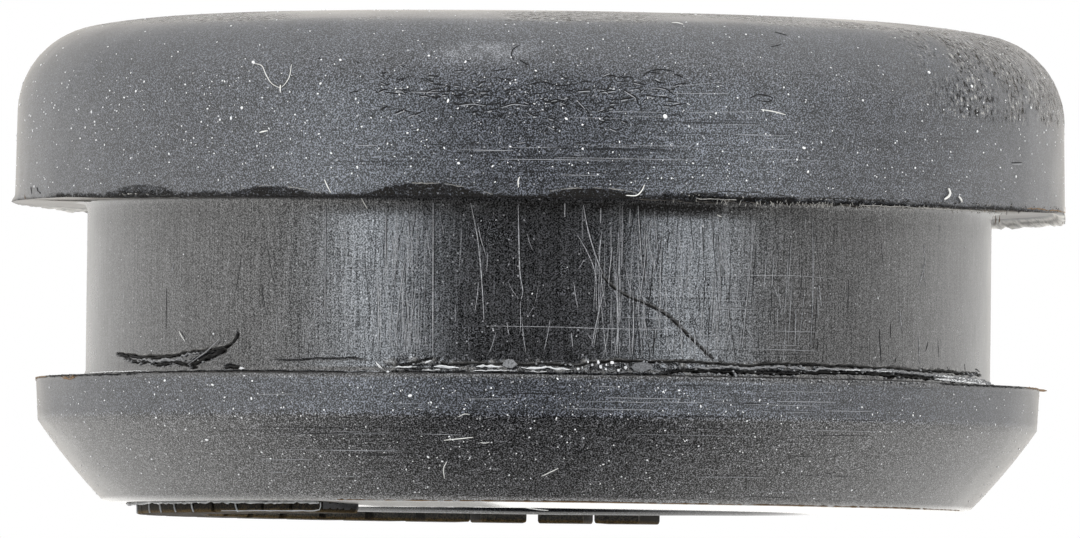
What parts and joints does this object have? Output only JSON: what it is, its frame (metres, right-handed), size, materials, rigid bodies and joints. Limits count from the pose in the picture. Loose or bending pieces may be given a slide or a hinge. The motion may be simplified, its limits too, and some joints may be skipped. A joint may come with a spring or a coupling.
{
  "type": "rubber panel grommet",
  "caption": "Round rubber grommet with a domed head, a groove that holds the edge of a panel hole, a snap-in lip and a plain bore that grips a stem.",
  "frame": {"origin": "on the bore's axis, in the plane of the undersides of the raised marks that the part stands on", "axes": "+Z along the bore, out of the head; -Y is the front that the picture shows; the broad raised marks run round the back (+Y) and the left (-X)"},
  "size_m": [0.036, 0.036, 0.017],
  "materials": {
    "black_rubber": "satin moulded rubber"
  },
  "bodies": {
    "root": {"grommet": "black_rubber"}
  },
  "joints": []
}
